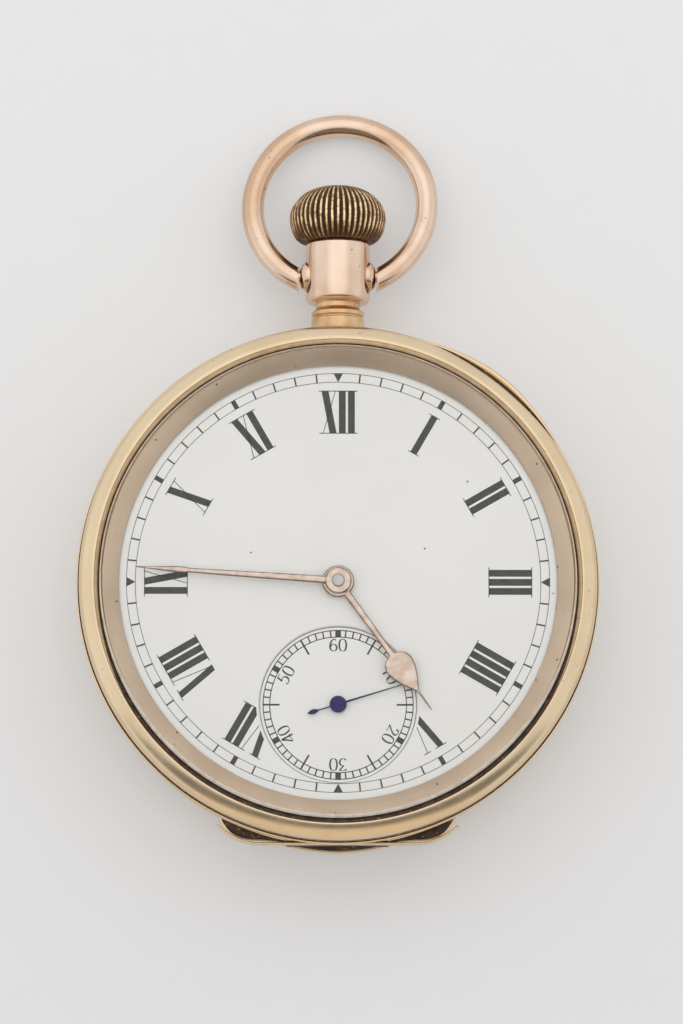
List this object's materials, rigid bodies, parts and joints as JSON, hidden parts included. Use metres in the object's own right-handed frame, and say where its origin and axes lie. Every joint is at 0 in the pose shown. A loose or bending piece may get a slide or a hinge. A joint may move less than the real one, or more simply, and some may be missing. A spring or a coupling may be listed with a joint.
{
  "type": "open face pocket watch",
  "caption": "Open face pocket watch with a domed crystal, enamel dial, sunk seconds disc, fluted crown, swinging bow, hinged bezel and back, and a geared lever movement.",
  "frame": {"origin": "on the hands' axis, at the flat of the back cover that the watch lies on", "axes": "+Z out of the dial, +Y from the centre to twelve o'clock and the crown, +X to three o'clock"},
  "size_m": [0.0504, 0.0727, 0.0126],
  "materials": {
    "yellow_gold": "polished, finely hand-worn yellow gold fill",
    "rose_gold": "polished rose gold fill",
    "worn_brass": "worn gold fill with brown brass showing",
    "gilt_brass": "frosted gilding",
    "steel": "polished steel",
    "blued_steel": "heat-blued steel",
    "white_enamel": "glossy fired enamel",
    "crystal_glass": "clear domed glass",
    "ruby": "polished synthetic ruby"
  },
  "bodies": {
    "case": {"case_band": "yellow_gold", "pendant": "rose_gold", "back_hinge_pin": "steel", "bezel_hinge_pin": "steel", "main_plate": "gilt_brass", "barrel_bridge": "gilt_brass", "train_bridge": "gilt_brass", "balance_cock": "gilt_brass", "pallet_cock": "gilt_brass", "dial": "white_enamel", "seconds_dial": "white_enamel", "hairspring": "blued_steel"},
    "bezel_ring": {"bezel": "yellow_gold", "crystal": "crystal_glass"},
    "back": {"back_cover": "yellow_gold"},
    "inner_cover": {"cuvette": "yellow_gold"},
    "hanging_bow": {"bow": "rose_gold"},
    "winding_gear": {"winding_pinion": "steel"},
    "stem_and_crown": {"crown": "worn_brass", "winding_stem": "steel"},
    "clutch": {"sliding_pinion": "steel"},
    "stem_lever": {"setting_lever": "steel"},
    "clutch_yoke": {"yoke": "steel"},
    "crown_gear": {"crown_wheel": "steel"},
    "ratchet": {"ratchet_wheel": "steel", "barrel_arbor": "steel"},
    "pawl": {"click": "steel"},
    "fourth": {"fourth_pinion": "steel", "fourth_wheel": "gilt_brass", "seconds_hand": "blued_steel"},
    "third": {"third_pinion": "steel", "third_wheel": "gilt_brass"},
    "centre": {"centre_pinion": "steel", "centre_wheel": "gilt_brass", "cannon_pinion": "steel", "minute_hand": "rose_gold"},
    "hour": {"hour_wheel": "gilt_brass", "hour_hand": "rose_gold"},
    "minute_work": {"minute_wheel": "gilt_brass", "minute_pinion": "steel"},
    "setting": {"setting_wheel": "steel"},
    "escape": {"escape_pinion": "steel", "escape_wheel": "steel"},
    "going_barrel": {"barrel": "gilt_brass", "barrel_cover": "gilt_brass", "mainspring": "blued_steel"},
    "pallet": {"pallet_fork": "steel", "pallet_arbor": "steel", "entry_stone": "ruby", "exit_stone": "ruby"},
    "balance": {"balance_wheel": "gilt_brass", "balance_staff": "steel"},
    "rate_regulator": {"regulator": "steel"}
  },
  "joints": [
    {"name": "bezel_open", "type": "hinge", "parent": "case", "child": "bezel_ring", "pos_m": [0, -0.02425, 0.0076], "axis": [1, 0, 0], "range_deg": [0, 85]},
    {"name": "back_open", "type": "hinge", "parent": "case", "child": "back", "pos_m": [0, -0.0244, 0.00285], "axis": [-1, 0, 0], "range_deg": [0, 100]},
    {"name": "cuvette_open", "type": "hinge", "parent": "case", "child": "inner_cover", "pos_m": [0, -0.0244, 0.00285], "axis": [-1, 0, 0], "range_deg": [0, 50]},
    {"name": "bow_swing", "type": "hinge", "parent": "case", "child": "hanging_bow", "pos_m": [0, 0.03064, 0.0053], "axis": [1, 0, 0], "range_deg": [-70, 100]},
    {"name": "crown_turn", "type": "hinge", "parent": "case", "child": "winding_gear", "pos_m": [0, 0.01827, 0.0053], "axis": [0, 1, 0], "continuous": true},
    {"name": "crown_pull", "type": "slide", "parent": "winding_gear", "child": "stem_and_crown", "axis": [0, 1, 0], "range_m": [0, 0.0009]},
    {"name": "clutch_slide", "type": "slide", "parent": "winding_gear", "child": "clutch", "axis": [0, -1, 0], "range_m": [0, 0.0009]},
    {"name": "setting_lever_turn", "type": "hinge", "parent": "case", "child": "stem_lever", "pos_m": [0.004, 0.019, 0.0053], "axis": [0, 0, -1], "range_deg": [0, 16]},
    {"name": "yoke_turn", "type": "hinge", "parent": "case", "child": "clutch_yoke", "pos_m": [-0.0046, 0.015, 0.0053], "axis": [0, 0, -1], "range_deg": [0, 12]},
    {"name": "crown_wheel_turn", "type": "hinge", "parent": "case", "child": "crown_gear", "pos_m": [0, 0.01398, 0.00216], "axis": [0, 0, 1], "continuous": true},
    {"name": "ratchet_turn", "type": "hinge", "parent": "case", "child": "ratchet", "pos_m": [0.0086, 0.00602, 0.00216], "axis": [0, 0, 1], "continuous": true},
    {"name": "click_lift", "type": "hinge", "parent": "case", "child": "pawl", "pos_m": [0.00736, 0.01486, 0.00216], "axis": [0, 0, 1], "range_deg": [0, 6]},
    {"name": "seconds_turn", "type": "hinge", "parent": "case", "child": "fourth", "pos_m": [0, -0.01185, 0.0049], "axis": [0, 0, -1], "continuous": true},
    {"name": "third_turn", "type": "hinge", "parent": "case", "child": "third", "pos_m": [0.00412, -0.00666, 0.00365], "axis": [0, 0, -1], "continuous": true},
    {"name": "minutes_turn", "type": "hinge", "parent": "case", "child": "centre", "pos_m": [0, 0, 0.00615], "axis": [0, 0, -1], "continuous": true},
    {"name": "hours_turn", "type": "hinge", "parent": "case", "child": "hour", "pos_m": [0, 0, 0.00862], "axis": [0, 0, -1], "continuous": true},
    {"name": "minute_wheel_turn", "type": "hinge", "parent": "case", "child": "minute_work", "pos_m": [0, 0.0044, 0.00835], "axis": [0, 0, -1], "continuous": true},
    {"name": "setting_wheel_turn", "type": "hinge", "parent": "case", "child": "setting", "pos_m": [0, 0.01001, 0.00835], "axis": [0, 0, -1], "continuous": true},
    {"name": "escape_turn", "type": "hinge", "parent": "case", "child": "escape", "pos_m": [-0.00514, -0.00888, 0.0055], "axis": [0, 0, -1], "continuous": true},
    {"name": "barrel_turn", "type": "hinge", "parent": "case", "child": "going_barrel", "pos_m": [0.0086, 0.00602, 0.00415], "axis": [0, 0, -1], "continuous": true},
    {"name": "pallet_rock", "type": "hinge", "parent": "case", "child": "pallet", "pos_m": [-0.00866, -0.00699, 0.0055], "axis": [0, 0, -1], "range_deg": [-5, 5]},
    {"name": "balance_swing", "type": "hinge", "parent": "case", "child": "balance", "pos_m": [-0.01218, -0.00509, 0.00375], "axis": [0, 0, -1], "range_deg": [-150, 150]},
    {"name": "regulator_turn", "type": "hinge", "parent": "case", "child": "rate_regulator", "pos_m": [-0.01218, -0.00509, 0.00225], "axis": [0, 0, -1], "range_deg": [-20, 20]}
  ],
  "couplings": [
    {"joint": "cuvette_open", "follows": "back_open", "ratio": 0.5},
    {"joint": "clutch_slide", "follows": "crown_pull", "ratio": 0.9},
    {"joint": "setting_lever_turn", "follows": "crown_pull", "rad_per_m": 250},
    {"joint": "yoke_turn", "follows": "crown_pull", "rad_per_m": 196},
    {"joint": "crown_wheel_turn", "follows": "crown_turn", "ratio": 0.57692},
    {"joint": "ratchet_turn", "follows": "crown_turn", "ratio": -0.33333},
    {"joint": "third_turn", "follows": "seconds_turn", "ratio": -0.13333},
    {"joint": "minutes_turn", "follows": "seconds_turn", "ratio": 0.016667},
    {"joint": "hours_turn", "follows": "seconds_turn", "ratio": 0.0013889},
    {"joint": "minute_wheel_turn", "follows": "seconds_turn", "ratio": -0.0055556},
    {"joint": "setting_wheel_turn", "follows": "seconds_turn", "ratio": 0.0079365},
    {"joint": "escape_turn", "follows": "seconds_turn", "ratio": -10},
    {"joint": "barrel_turn", "follows": "seconds_turn", "ratio": -0.0027778}
  ]
}
